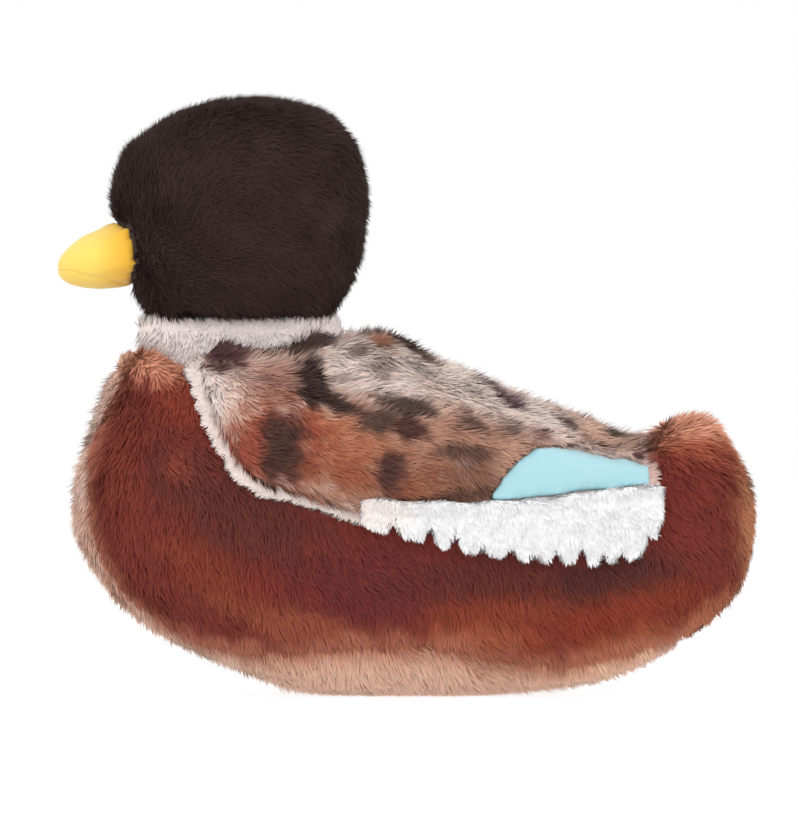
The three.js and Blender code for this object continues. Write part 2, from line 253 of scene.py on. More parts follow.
def even(depth):
    """The same depth at all places."""
    return lambda places, normals=None: np.full(len(places), depth)


# Stuffed forms

def remeshed(label, nodes, voxel):
    """One closed skin over a few CAD nodes."""
    skin = copied(label, *nodes)
    applied(skin, "REMESH", mode="VOXEL", voxel_size=voxel)
    return biggest_part(skin)


def drawn_in(skin, depth_at, rounds=3):
    """Moves a skin inwards by a depth worked out at each point, then evens it."""
    places = corners(skin)
    normals = corner_normals(skin)
    move_corners(skin, places - normals * depth_at(places, normals)[:, None])
    return applied(skin, "SMOOTH", factor=0.5, iterations=rounds)


def puffed(skin, cap):
    """Fills a closed skin with air as cloth, with no point moving further than the cap."""
    start = corners(skin)
    cloth = skin.modifiers.new("Cloth", "CLOTH")
    cloth.settings.quality = 5
    cloth.settings.use_pressure = True
    cloth.settings.uniform_pressure_force = air_pressure
    cloth.settings.effector_weights.gravity = 0
    for number in range(1, air_frames + 1):
        bpy.context.scene.frame_set(number)
    alone(skin)
    bpy.ops.object.modifier_apply(modifier=cloth.name)
    bpy.context.scene.frame_set(1)
    moved = corners(skin) - start
    far = np.linalg.norm(moved, axis=1)
    move_corners(skin, start + moved * np.minimum(1, cap / np.maximum(far, 1e-9))[:, None])
    return applied(skin, "SUBSURF", levels=1, render_levels=1)


def stuffed(form, panels, voxel, depth_at, rounds, cap, reshape=None):
    """A form's closed skin: drawn in, reshaped if it is to be, and blown up."""
    skin = remeshed(form + "_skin", panels + [form + "_stuffing"], voxel)
    drawn_in(skin, depth_at, rounds)
    if reshape:
        reshaped(skin, reshape)
    return puffed(skin, cap)


def panel_of_faces(skin, nodes):
    """For each face of a skin, the number of the CAD panel that it lies in."""
    trees = [tree_of(node) for node in nodes]
    middles = [face.center for face in skin.data.polygons]
    return np.array([
        min(range(len(trees)), key=lambda number: trees[number].find_nearest(middle)[3])
        for middle in middles
    ])


def on_seams(mesh, panel, field, count):
    """The corners or edges that faces of different panels share."""
    found = read(mesh.loops, field, 1, np.int32)
    of_loop = np.repeat(panel, read(mesh.polygons, "loop_total", 1, np.int32))
    least = np.full(count, panel.max())
    most = np.full(count, panel.min())
    np.minimum.at(least, found, of_loop)
    np.maximum.at(most, found, of_loop)
    return np.flatnonzero(least != most)


def seams_evened(skin, panel):
    """Evens the lines along which a skin's panels meet, so that they still fit when they are cut apart."""
    mesh = skin.data
    ends = read(mesh.edges, "vertices", 2, np.int32).reshape(-1, 2)
    ends = ends[on_seams(mesh, panel, "edge_index", len(mesh.edges))]
    places = corners(skin)
    for _ in range(3):
        total = np.zeros_like(places)
        count = np.zeros(len(places))
        for one, other in ((0, 1), (1, 0)):
            np.add.at(total, ends[:, one], places[ends[:, other]])
            np.add.at(count, ends[:, one], 1)
        met = count > 0
        places[met] += 0.5 * (total[met] / count[met][:, None] - places[met])
    move_corners(skin, places)


def seams_pulled(skin, panel, pull, reach):
    """Draws the skin in along the seams between its panels."""
    places = corners(skin)
    seam = point_tree(places[on_seams(skin.data, panel, "vertex_index", len(places))])
    pulled = pull * swell(np.array([seam.find(place)[2] for place in places]), reach)
    move_corners(skin, places - corner_normals(skin) * pulled[:, None])


def sheet_of(skin, panel, number, label):
    """An open sheet with the faces of one panel."""
    sheet = alone(placed(label, skin.data.copy()))
    bpy.ops.object.mode_set(mode="EDIT")
    bpy.ops.mesh.select_all(action="DESELECT")
    bpy.ops.mesh.select_mode(type="FACE")
    bpy.ops.object.mode_set(mode="OBJECT")
    sheet.data.polygons.foreach_set("select", panel != number)
    bpy.ops.object.mode_set(mode="EDIT")
    bpy.ops.mesh.delete(type="FACE")
    bpy.ops.object.mode_set(mode="OBJECT")
    return sheet


def cut_up(skin, panel, nodes, ending):
    """Cuts a skin into a sheet for each of its panels, named after its CAD node."""
    sheets = [sheet_of(skin, panel, number, node + ending) for number, node in enumerate(nodes)]
    bpy.data.objects.remove(skin)
    return sheets


# Colours

def srgb(code):
    """The sRGB numbers of a hex colour."""
    return np.array([int(code[place:place + 2], 16) / 255 for place in (1, 3, 5)])


def linear(colour):
    """sRGB numbers or a hex colour as linear light."""
    colour = srgb(colour) if isinstance(colour, str) else np.asarray(colour)
    return np.where(colour <= 0.04045, colour / 12.92, ((colour + 0.055) / 1.055) ** 2.4)


def paint(code):
    return (*linear(code), 1.0)


def lifted(dyed):
    """Dyes in linear light, brighter by the fibres' share but none beyond what cloth can be."""
    brighter = fibre_lift * linear(np.clip(dyed, 0, 1))
    return brighter * np.minimum(1, brightest_dye / brighter.max(axis=1))[:, None]


def ripple(places, size, seed):
    """Smooth seeded unevenness between about -1 and 1, with swells of the given size."""
    chance = np.random.default_rng(seed)
    total = np.zeros(len(places))
    for _ in range(8):
        way = chance.normal(size=3)
        way *= 2 * math.pi / size * chance.uniform(0.6, 1.5) / np.linalg.norm(way)
        total += np.sin(places @ way + chance.uniform(0, 2 * math.pi))
    return total / 3


def eased(low, high, values):
    """0 below low, 1 above high, and smooth between."""
    share = np.clip((values - low) / (high - low), 0, 1)
    return share * share * (3 - 2 * share)


def eased_mm(low, high, values):
    """The same with the limits in mm."""
    return eased(low * MM, high * MM, values)


def swell(off, reach):
    """1 where off is 0, and less further off, like a bell."""
    return np.exp(-((off / reach) ** 2))


def blended(values, others, share):
    """Colours or ways drawn towards others, each by its own share."""
    return values + (np.asarray(others) - values) * share[:, None]


flank = tree_of("body_side_left", "back_panel", "belly_gusset", "wing_left_cover", "neck_band")


def seat_of(x, z):
    """The point of the toy's left flank that shows at x and z in the side view.

    The wings' front tops are raised, so marks that lie just over them are seated on them."""
    lower = 5 * MM if x < -40 * MM else 0
    hits = [flank.ray_cast(Vector((x, -0.3, z - drop)), Vector((0, 1, 0)))[0] for drop in (0, lower)]
    return Vector((x, min([hit.y for hit in hits if hit] + [-10 * MM]), z))


def blotched(places, ground, blotches):
    """Dyes places with soft blotches over a ground colour, the same on both flanks.

    A blotch is given as it shows in the side view: x and z of its middle, its half length and half
    width in mm, its slope in degrees, its colour, how soft its edge is and how strongly it covers."""
    colours = np.tile(srgb(ground), (len(places), 1)).astype(float)
    uneven = edge_wobble * (ripple(places, 9 * MM, 5) + 0.6 * ripple(places, 4 * MM, 6))
    for x, z, long, short, slope, code, edge, cover in blotches:
        middle = seat_of(x * MM, z * MM)
        turn = math.radians(slope)
        share = np.zeros(len(places))
        for side in (1, -1):
            off_x = places[:, 0] - middle.x
            off_y = places[:, 1] - side * middle.y
            off_z = places[:, 2] - middle.z
            along = (off_x * math.cos(turn) + off_z * math.sin(turn)) / (long * MM)
            across = (off_z * math.cos(turn) - off_x * math.sin(turn)) / (short * MM)
            through = off_y / (1.1 * max(long, short) * MM + 3 * MM)
            away = np.sqrt(along ** 2 + across ** 2 + through ** 2) + uneven
            share = np.maximum(share, cover * (1 - eased(1 - edge, 1 + edge, away)))
        colours = blended(colours, srgb(code), share)
    return colours


# Dyed fur of the flanks, chest and tail, with its darker and redder clouds; its pale clouds on the chest's
# top and round the tail are partly the fur's own colour and partly painted light
chestnut_ground = "#722f29"
chestnut_clouds = [
    # Paler on the chest's top: painted light where the top catches the light
    (-100, 134, 22, 10, -8, "#de997b", 0.5, 0.9),
    (-112, 96, 10, 30, 8, "#7c372c", 0.6, 0.8),
    (-88, 118, 12, 8, 0, "#86392b", 0.6, 0.8),
    (-96, 92, 9, 12, 0, "#632d28", 0.6, 0.8),
    (-88.5, 92, 7, 6, 0, "#c25a3e", 0.7, 0.8),
    (-88, 78, 8, 5, -20, "#7f3a2d", 0.6, 0.7),
    (-66, 76, 34, 16, -28, "#5b2c28", 0.5, 0.9),
    (-78, 50, 22, 8, -30, "#803a2a", 0.6, 0.8),
    (-40, 40, 22, 8, -15, "#7c3129", 0.6, 0.8),
    (-16, 44, 32, 16, 0, "#65292b", 0.5, 0.85),
    (-38, 28, 34, 6, -14, "#96523a", 0.7, 0.8),
    (36, 33, 30, 8, 5, "#8a3f2b", 0.6, 0.8),
    (30, 24, 24, 5, 0, "#a35a3e", 0.7, 0.8),
    (44, 50, 44, 8, 3, "#5f2c28", 0.5, 0.9),
    (84, 48, 26, 9, 10, "#4e2a28", 0.6, 0.85),
    (84, 34, 34, 8, 16, "#883726", 0.6, 0.8),
    (84, 20, 24, 6, 22, "#a05637", 0.7, 0.8),
    (110, 78, 14, 22, 0, "#76302a", 0.6, 0.7),
    # Paler on the tail's top, rear edge and underside: partly the fur's own colour, partly painted rim light
    (114, 103, 19, 8, -6, "#a8583f", 0.6, 0.9),
    (117, 111, 20, 6, -6, "#cf9a7e", 0.6, 0.9),
    (138, 74, 6, 26, 0, "#b87a58", 0.8, 0.9),
    (116, 30, 20, 4, 42, "#b06f4c", 0.8, 0.8),
    (101, 104, 7, 7, 0, "#a5654e", 0.6, 0.9),
]
# Painted rim light along the middle of the tail, and painted light on the tail's top
tail_rim_light = "#b4774d"
tail_top_light = "#d8957a"
tail_from = 92 * MM

# Pale fur of the gusset, which runs from the chest under the belly to the tail; its palest clouds, along the
# chest's front and the lower edges, are partly painted rim light
gusset_ground = "#cd967d"
gusset_clouds = [
    # Palest along the chest's front, the belly's lower edge and under the tail: partly the fur's own colour,
    # partly painted rim light
    (-124, 100, 12, 44, 6, "#f6d8ca", 0.5, 0.95),
    (-90, 30, 34, 10, -42, "#f6d8c6", 0.6, 0.9),
    (-4, 20, 40, 5, 0, "#c48a72", 0.6, 0.7),
    (-20, 6, 66, 7, 0, "#dcb19a", 0.6, 0.8),
    (84, 12, 26, 8, 22, "#f4c6a6", 0.6, 0.85),
    (50, 16, 20, 5, 0, "#b5775c", 0.6, 0.7),
]

# Printed fur of the back and the wings, front to back
spotted_ground = "#b49486"
spotted_clouds = [
    (-69, 122, 20, 12, 30, "#e0c6ba", 0.6, 0.9),
    (-52, 126, 13, 10, 0, "#98695a", 0.6, 0.85),
    (-62, 112, 9, 7, -30, "#cda893", 0.6, 0.8),
    (-14, 132, 28, 14, -30, "#e0cec5", 0.4, 0.95),
    (28, 126, 38, 11, -28, "#ead8cd", 0.5, 0.95),
    (56, 112, 18, 6, -30, "#e8d7cd", 0.5, 0.9),
    (76, 108, 9, 6, -24, "#e5bba5", 0.5, 0.9),
    (14, 100, 50, 14, -12, "#a57560", 0.5, 0.85),
    (-24, 98, 20, 16, 0, "#a8674b", 0.6, 0.9),
    (-33, 108, 7, 7, 0, "#b5704f", 0.7, 0.7),
    (6, 84, 16, 12, 0, "#8a5440", 0.7, 0.85),
    (28, 87, 14, 9, 0, "#7f5746", 0.6, 0.9),
    (42, 97, 7, 10, -35, "#b68d7a", 0.6, 0.8),
    (80, 97, 20, 4, -16, "#c4a297", 0.5, 0.8),
    (-53, 101, 21, 16, 15, "#8c4232", 0.55, 0.95),
    (-49, 99.5, 8, 15, -4, "#452c27", 0.55, 1.0),
    (-46, 82, 18, 3, -10, "#7a4a3a", 0.7, 0.8),
    (-80, 122, 7, 15, 14, "#f0e1db", 0.6, 0.9),
    (-16, 89, 22, 6, -8, "#8a4a34", 0.7, 0.7),
]
spotted_marks = [
    (-71.5, 138.6, 11, 7, 12, "#472c2d", 0.4, 1.0),
    (-83, 135.5, 6, 2.2, 40, "#8a6f66", 0.5, 0.8),
    (-52, 141, 12, 3, 4, "#6b4f45", 0.5, 0.9),
    (-38, 142.5, 12, 4, 20, "#42302b", 0.4, 1.0),
    (-37.5, 129, 6, 12, 4, "#3a2925", 0.3, 1.0),
    (-29, 118.5, 9, 3.8, -28, "#3a2925", 0.35, 1.0),
    (-19.5, 139, 4.6, 2.6, 10, "#8a7471", 0.5, 0.9),
    (-10.5, 132.5, 7, 5, -35, "#9c8680", 0.6, 0.8),
    (-25.5, 128.8, 5, 1.3, 8, "#a08c86", 0.5, 0.8),
    (-10.5, 124.4, 3.4, 2, 0, "#a8948e", 0.5, 0.8),
    (-10, 143.5, 5.5, 3.4, -30, "#a1674d", 0.5, 0.9),
    (1, 142, 15, 2.3, -36, "#4f3832", 0.4, 0.9),
    (6.5, 132, 4.6, 2.4, -38, "#a39893", 0.5, 0.8),
    (0.5, 117, 12, 4.2, -8, "#4a3833", 0.45, 0.95),
    (-11, 111.5, 8, 6, 0, "#4f3a32", 0.5, 0.95),
    (1.5, 107.6, 7.4, 4.6, -6, "#4c3029", 0.45, 1.0),
    (-6.8, 90.5, 6, 7.6, -8, "#4a2f2c", 0.6, 0.95),
    (23, 116.5, 6, 2.0, -52, "#6b5249", 0.5, 0.9),
    (26, 110.5, 6, 3, -30, "#5e463d", 0.5, 0.95),
    (31, 129, 8, 2.2, -38, "#5e484b", 0.4, 0.95),
    (41.5, 121, 8.4, 3.4, -34, "#5b4246", 0.35, 1.0),
    (40, 112.8, 7.6, 1.7, -38, "#5f4f48", 0.45, 0.9),
    (41.5, 107.8, 4, 2, -8, "#665048", 0.5, 0.9),
    (50, 121.6, 4.4, 1.2, -28, "#857872", 0.4, 0.8),
    (63.5, 111.8, 9, 1.7, -40, "#5f4a4a", 0.35, 0.95),
    (54, 106, 5.6, 3.4, -18, "#80605a", 0.5, 0.9),
    (85, 108.2, 6.5, 3.4, -28, "#4a4238", 0.35, 1.0),
    (95, 98.6, 3.4, 4, -40, "#4c2f38", 0.4, 0.95),
    (23.5, 98, 10, 3.6, -6, "#5d4239", 0.5, 0.95),
    (23, 94, 4, 2, 0, "#7b6360", 0.5, 0.8),
    (22.5, 80.6, 12, 3.2, 8, "#573b30", 0.5, 0.9),
]


neck_band = tree_of("neck_band")
flanks = tree_of("body_side_left", "body_side_right")
gusset = tree_of("belly_gusset")
seam_tinge = "#92503b"
seam_bleach = "#ad6e58"


def chestnut(places):
    x, y, z = places.T
    colours = blotched(places, chestnut_ground, chestnut_clouds)
    # Painted rim light along the tail's edge, and painted light over its top
    rim = (1 - eased_mm(4, 17, np.abs(y))) * eased(tail_from, tail_from + 25 * MM, x)
    colours = blended(colours, srgb(tail_rim_light), 0.85 * rim)
    colours = blended(colours, srgb(tail_top_light), 0.85 * (eased_mm(98, 109, z) * eased_mm(70, 90, x)))
    off_seam = away_from(gusset, places) + 2 * MM * ripple(places, 16 * MM, 11)
    colours = blended(colours, srgb(seam_bleach), 0.75 * (1 - eased_mm(0, 8, off_seam)))

    # The narrow strip between the back panel and a wing is dyed like both
    strip = 1 - eased_mm(4, 8, below_hinge(places))
    strip *= eased_mm(-84, -80, x) * (1 - eased_mm(95, 99, x))
    return blended(colours, spotted(places), strip)


def gusset_tan(places):
    """Pale, but tinged by the chestnut fur that mixes with it along the seams."""
    off_seam = away_from(flanks, places) + 1.6 * MM * ripple(places, 14 * MM, 9)
    tinge = 0.7 * (1 - eased_mm(0.5, 9, off_seam))
    tinge *= 0.25 + 0.75 * eased_mm(-112, -94, places[:, 0])
    return blended(blotched(places, gusset_ground, gusset_clouds), srgb(seam_tinge), tinge)


def spotted(places):
    return blotched(places, spotted_ground, spotted_clouds + spotted_marks)


def lining_white(places):
    """White, but tinged at the wing's rear end, and dyed like the cover where both are sewn to the body."""
    colours = blotched(places, "#f5e3dc", [(102, 92, 9, 10, 0, "#bd968a", 0.6, 0.9)])
    return blended(colours, spotted(places), 1 - eased_mm(3, 6, below_hinge(places)))


def trim_white(places):
    """White, but a little creamy at the trim's front end."""
    return blotched(places, "#fdfcfd", [(-10, 76, 14, 9, 0, "#e8dad2", 0.6, 0.9)])


def plain(code):
    """A dye of one colour with faint clouds."""
    def dye(places):
        return srgb(code) + 0.012 * ripple(places, 22 * MM, 8)[:, None]
    return dye


# Strands

def unit(vectors):
    return vectors / np.maximum(np.linalg.norm(vectors, axis=1), 1e-9)[:, None]


def along_skin(ways, normals):
    """Ways turned to lie along the skin."""
    return unit(ways - normals * (ways * normals).sum(1)[:, None])


def turned(ways, normals, angle):
    """Ways turned about the skin's normals."""
    across = np.cross(normals, ways)
    return ways * np.cos(angle)[:, None] + across * np.sin(angle)[:, None]


def roots_on(sheet, count, chance):
    """Evenly scattered places on a sheet, the sheet's normals there and its area for each."""
    mesh = sheet.data
    mesh.calc_loop_triangles()
    triangles = read(mesh.loop_triangles, "vertices", 3, np.int32).reshape(-1, 3)
    places = corners(sheet)
    normals = corner_normals(sheet)
    a, b, c = (places[triangles[:, side]] for side in range(3))
    area = np.linalg.norm(np.cross(b - a, c - a), axis=1) / 2
    steps = (np.arange(count) + chance.random(count)) / count
    chosen = np.minimum(np.searchsorted(np.cumsum(area) / area.sum(), steps), len(area) - 1)
    share = np.sort(chance.random((count, 2)), axis=1)
    weights = np.stack([share[:, 0], share[:, 1] - share[:, 0], 1 - share[:, 1]], 1)
    found = (places[triangles[chosen]] * weights[:, :, None]).sum(1)
    facing = (normals[triangles[chosen]] * weights[:, :, None]).sum(1)
    return found, unit(facing), area.sum() / count


def clear_of(places, normals, tree, reach):
    """Which places have no face of a tree close over them."""
    starts = places + normals * 0.1 * MM
    return np.array([
        tree.ray_cast(Vector(start), Vector(normal), reach)[0] is None
        for start, normal in zip(starts, normals)
    ])


def grown(label, roots, normals, each, style, dye, seed, flatter=0, longer=1):
    """A pile of slim flattened strands, which lean, swirl and gather in tufts.

    Flatter adds degrees to their lean and longer is a share of their length, each for all or one by one."""
    chance = np.random.default_rng(seed)
    count = len(roots)
    flatter = np.broadcast_to(flatter, count)
    ways = along_skin(style.lay(roots, normals), normals)
    swirl = np.radians(20) * ripple(roots, 36 * MM, seed + 1)
    swirl += np.radians(12) * ripple(roots, 12 * MM, seed + 2)
    ways = turned(ways, normals, swirl)

    # Each tuft has its own turn, height and tilt, and its strands draw together at their tips
    tufts = max(1, int(count * each / style.tuft ** 2))
    picks = np.sort(chance.choice(count, tufts, replace=False))
    tree = point_tree(roots[picks])
    mine = np.array([tree.find(root)[1] for root in roots])
    turn = chance.normal(0, 11, tufts)[mine] + chance.normal(0, 7, count)
    ways = turned(ways, normals, np.radians(turn))
    lean = style.lean + chance.normal(0, 3, tufts)[mine] + chance.normal(0, 4, count)
    length = style.length * chance.normal(1, 0.06, tufts)[mine] * chance.uniform(0.85, 1.1, count)
    proud = (chance.random(count) < style.stray) & (flatter == 0)
    lean = np.radians(np.clip(lean + flatter - 24 * proud, 8, 84))
    length = length * longer
    up, out = np.cos(lean)[:, None], np.sin(lean)[:, None]
    tip = roots + (normals * up + ways * out) * length[:, None]
    leader = picks[mine]
    tip += (tip[leader] - tip) * (style.gather * chance.uniform(0.4, 1, count))[:, None]
    base = roots - normals * 0.4 * MM
    tilt = chance.normal(0, 1, (tufts, 3))[mine]
    soft = unit(normals + style.mottle * tilt + 0.1 * ways)
    return blades(label, base, tip, normals, soft, style, dye(roots + dyed_at * (tip - roots)), chance)


def blades(label, base, tip, normals, soft, style, dyed, chance):
    """The mesh of all strands. Each is a long flat cone: three corners at its root and a tip."""
    count = len(base)
    axis = unit(tip - base)
    front = along_skin(normals, axis)
    side = np.cross(front, axis)
    half = (0.5 * style.width * chance.uniform(0.75, 1.25, count))[:, None]
    places = np.stack([base + side * half, base + front * half * 0.5, base - side * half, tip], 1)
    places[:, :, 2] = np.maximum(places[:, :, 2], ground_clearance)
    corners_each = 4
    faces = np.array([(0, 2, 1), (0, 1, 3), (1, 2, 3), (2, 0, 3)])
    starts = (np.arange(count) * corners_each)[:, None, None]
    triangles = (faces[None] + starts).reshape(-1, 3)
    mesh = bpy.data.meshes.new(label)
    mesh.vertices.add(count * corners_each)
    mesh.vertices.foreach_set("co", places.astype(np.float32).ravel())
    mesh.loops.add(triangles.size)
    mesh.loops.foreach_set("vertex_index", triangles.astype(np.int32).ravel())
    mesh.polygons.add(len(triangles))
    mesh.polygons.foreach_set("loop_start", np.arange(0, triangles.size, 3, dtype=np.int32))
    mesh.polygons.foreach_set("use_smooth", np.ones(len(triangles), bool))
    mesh.update(calc_edges=True)

    # One small cell of the bake map for each strand, its length along the cell
    flat = np.array([
        ((0, 0), (0.5, 0.12), (1, 0)),
        ((0, 0.14), (0.3, 0.14), (0.3, 1)),
        ((0.35, 0.14), (0.65, 0.14), (0.65, 1)),
        ((0.7, 0.14), (1, 0.14), (1, 1)),
    ])
    margin = 0.06
    columns = math.ceil(math.sqrt(count))
    cells = np.stack([np.arange(count) % columns, np.arange(count) // columns], 1)
    drawn = (cells[:, None, None, :] + margin + (1 - 2 * margin) * flat[None]) / columns
    layer = mesh.uv_layers.new(name="OFBake")
    layer.uv.foreach_set("vector", drawn.astype(np.float32).ravel())

    colours = np.ones((count, corners_each, 4), np.float32)
    colours[:, :, :3] = lifted(dyed)[:, None]
    add_attribute(mesh, "dye", "FLOAT_COLOR", "color", colours)
    add_attribute(mesh, "rise", "FLOAT", "value", np.tile([0, 0, 0, 1], count))
    add_attribute(mesh, "strand", "FLOAT", "value", np.repeat(chance.random(count), corners_each))
    mesh.normals_split_custom_set_from_vertices(np.repeat(soft, corners_each, axis=0))
    return placed(label, mesh)


def add_attribute(mesh, label, kind, field, values):
    attribute = mesh.attributes.new(label, kind, "POINT")
    attribute.data.foreach_set(field, np.asarray(values, np.float32).ravel())


def dyed_skin(sheet, dye):
    """Gives a backing cloth the dye of the pile that grows on it."""
    places = corners(sheet)
    colours = np.ones((len(places), 4), np.float32)
    colours[:, :3] = lifted(dye(places))
    add_attribute(sheet.data, "dye", "FLOAT_COLOR", "color", colours)


# Which way the fur is brushed

def along_hinge(places):
    """How far along the wings' sewn top seams places lie: 0 at the front end and 1 at the rear."""
    return (places[:, 0] - hinge_front.x) / (hinge_rear.x - hinge_front.x)


def below_hinge(places):
    """How far places lie under the wing's sewn top seam, in the side view."""
    return hinge_front.z + along_hinge(places) * (hinge_rear.z - hinge_front.z) - places[:, 2]


def inside_hinge(places):
    """How far places lie inwards of the nearer wing's sewn top seam."""
    return -hinge_front.y + along_hinge(places) * (hinge_front.y - hinge_rear.y) - np.abs(places[:, 1])


def by_collar(places):
    """1 on the body's edge round the front and sides of the neck band, 0 elsewhere."""
    x, _, z = places.T
    edge = neckline_height - neckline_dip * swell(x - neckline_at, neckline_reach)
    close = 1 - eased_mm(3, 5, away_from(neck_band, places))
    return close * eased_mm(0, 1.5, z - edge) * (x < -84 * MM)


def near_neck(places):
    """1 where the body meets the front and sides of the neck band, 0 from half a centimetre off."""
    x, _, z = places.T
    away = np.linalg.norm(places - np.array(neck_pivot), axis=1)
    return (1 - eased_mm(54, 60, away)) * (1 - eased_mm(-42, -28, x)) * eased_mm(123, 131, z)


def tail_edge(places):
    """1 along the middle of the tail behind, above and below, 0 elsewhere."""
    x, y, _ = places.T
    return (1 - eased_mm(4, 11, np.abs(y))) * eased_mm(92, 112, x)


def wing_top(places, low, high):
    """1 along the front half of a wing's sewn top edge, 0 elsewhere. Low and high are in mm."""
    return (1 - eased_mm(low, high, below_hinge(places))) * (1 - eased_mm(-46, -34, places[:, 0]))


def brushed_flank(places, normals):
    """Over the chest, the flanks and the tail: down and towards the tail, but along the collar."""
    ways = np.tile([0.5, 0.0, -1.0], (len(places), 1))
    return blended(ways, (1, 0, 0.25), by_collar(places))


def brushed_back(places, normals):
    """Over the back: towards the tail and a little down."""
    return np.tile([1.0, 0.0, -0.45], (len(places), 1))


def brushed_off_neck(places, normals):
    """Over the back: towards the tail, but up over the neck band where they meet."""
    ways = brushed_back(places, normals)
    ways[:, 1] += 0.9 * (1 - eased_mm(2, 8, inside_hinge(places))) * np.sign(places[:, 1])
    return blended(ways, (0.9, 0, 0.9), near_neck(places))


def brushed_wing(places, normals):
    """Over a wing: towards the tail, more steeply down in front and up over the neck at its top."""
    ways = brushed_back(places, normals)
    ways = blended(ways, (0.6, 0, -0.9), 1 - eased_mm(-78, -30, places[:, 0]))
    ways = blended(ways, (1, 0, 0.2), 1 - eased_mm(1, 4, below_hinge(places)))
    return blended(ways, (1, 0, 0.7), wing_top(places, 0, 4))


def brushed_down(places, normals):
    return np.tile([0.12, 0.0, -1.0], (len(places), 1))


def brushed_neck(places, normals):
    """Round the neck: down, but up over the head's lower edge at its top."""
    ways = brushed_down(places, normals)
    return ways + eased_mm(146, 149, places[:, 2])[:, None] * np.array([0, 0, 1.8])


def brushed_round_head(places, normals):
    """Over the head: away from the beak's root, then down behind."""
    off_beak = places - np.array(beak_root)
    away = np.linalg.norm(off_beak, axis=1)
    down = eased_mm(50, 95, away)[:, None] * np.array([0, 0, -1.0])
    return off_beak / away[:, None] + down


def brushed_over_edge(places, normals):
    """Over a wing's edge: out from the wing's middle."""
    ways = places - np.array(wing_middle)
    ways[:, 1] = 0
    return ways


# Materials

def add_node(tree, kind, inputs=None, **settings):
    """Adds a node. An input gets a number, a colour or a link from another node's output."""
    made = tree.nodes.new(kind)
    for setting, value in settings.items():
        setattr(made, setting, value)
    for socket, value in (inputs or {}).items():
        if isinstance(value, bpy.types.NodeSocket):
            tree.links.new(value, made.inputs[socket])
        else:
            made.inputs[socket].default_value = value
    return made


def new_material(label):
    material = bpy.data.materials.new(label)
    material.use_nodes = True
    material.node_tree.nodes.clear()
    return material, material.node_tree


def finished(material, inputs):
    """Ends a material with a principled shader."""
    shader = add_node(material.node_tree, "ShaderNodeBsdfPrincipled", inputs)
    add_node(material.node_tree, "ShaderNodeOutputMaterial", {"Surface": shader.outputs[0]})
    return material


def object_place(tree):
    return add_node(tree, "ShaderNodeTexCoord").outputs["Object"]


def attribute(tree, label, output="Fac"):
    return add_node(tree, "ShaderNodeAttribute", attribute_name=label).outputs[output]


def noise(tree, size, detail, distortion=0.0):
    """Noise with grains of the given size."""
    return add_node(tree, "ShaderNodeTexNoise", {
        "Vector": object_place(tree), "Scale": 1 / size, "Detail": detail, "Distortion": distortion,
    }).outputs["Fac"]


def waves(tree, size, distortion, **settings):
    return add_node(tree, "ShaderNodeTexWave", {
        "Vector": object_place(tree), "Scale": 1 / size, "Distortion": distortion,
    }, **settings).outputs["Fac"]


def ranged(tree, value, start, end, low, high, **settings):
    """A value stretched so that start becomes low and end becomes high."""
    return add_node(tree, "ShaderNodeMapRange", {
        "Value": value, "From Min": start, "From Max": end, "To Min": low, "To Max": high,
    }, **settings).outputs["Result"]


def worked_out(tree, operation, one, other):
    return add_node(tree, "ShaderNodeMath", {0: one, 1: other}, operation=operation).outputs[0]


def scaled(tree, colour, light):
    return add_node(tree, "ShaderNodeVectorMath", {0: colour, "Scale": light}, operation="SCALE").outputs[0]


def mixed(tree, share, one, other):
    return add_node(tree, "ShaderNodeMix", {0: share, 6: one, 7: other}, data_type="RGBA").outputs[2]


def bumped(tree, height, strength, depth):
    return add_node(tree, "ShaderNodeBump", {
        "Height": height, "Strength": strength, "Distance": depth,
    }).outputs[0]


# How much darker or paler single strands and patches of a pile are
uneven_shade = (0.93, 1.07)


# Polyester plush: painted shade darkens each fibre towards the backing, and its paler tip is partly the
# fibre's own colour and partly painted rim light where the pile's edges catch the light
def plush_pile(label, root_shade, tip_colour, tip_share, sheen):
    material, tree = new_material(label)
    rise = attribute(tree, "rise")
    # Painted shade: each fibre is darker towards its root
    depth = ranged(tree, rise, 0, 0.6, root_shade, 1)
    single = ranged(tree, attribute(tree, "strand"), 0, 1, *uneven_shade)
    patch = ranged(tree, noise(tree, 5 * MM, 3), 0.3, 0.7, *uneven_shade)
    light = worked_out(tree, "MULTIPLY", worked_out(tree, "MULTIPLY", depth, single), patch)
    shaded = scaled(tree, attribute(tree, "dye", "Color"), light)
    # Paler tips: partly the fibre's own colour, partly painted rim light
    tip = ranged(tree, rise, 0.5, 1, 0, tip_share)
    return finished(material, {
        "Base Color": mixed(tree, tip, shaded, paint(tip_colour)), "Roughness": 0.9,
        "Specular IOR Level": 0.15, "Sheen Weight": sheen, "Sheen Roughness": 0.5,
        "Sheen Tint": paint(tip_colour),
    })


# Knitted polyester backing, the dye of its pile but darker with painted shade from the pile over it, with
# its stitch rows 1.2 mm apart
def plush_backing(label, dark, pale):
    material, tree = new_material(label)
    rows = waves(tree, 7.5 * MM, 2)
    # Painted shade: the backing is darker than its pile's dye
    shade = ranged(tree, rows, 0, 1, dark, pale)
    return finished(material, {
        "Base Color": scaled(tree, attribute(tree, "dye", "Color"), shade), "Roughness": 0.95,
        "Normal": bumped(tree, rows, 0.4, 0.2 * MM),
    })


# Polyester satin: a tight weave with a soft gloss, in faint greener and bluer clouds
def blue_satin():
    material, tree = new_material("blue_satin")
    thread = waves(tree, 2.2 * MM, 0.6, bands_direction="Z")
    return finished(material, {
        "Base Color": mixed(tree, noise(tree, 30 * MM, 2), paint("#9fd3d8"), paint("#afd7e3")),
        "Roughness": 0.55, "Normal": bumped(tree, thread, 0.12, 0.1 * MM),
        "Sheen Weight": 0.2, "Sheen Roughness": 0.4,
    })


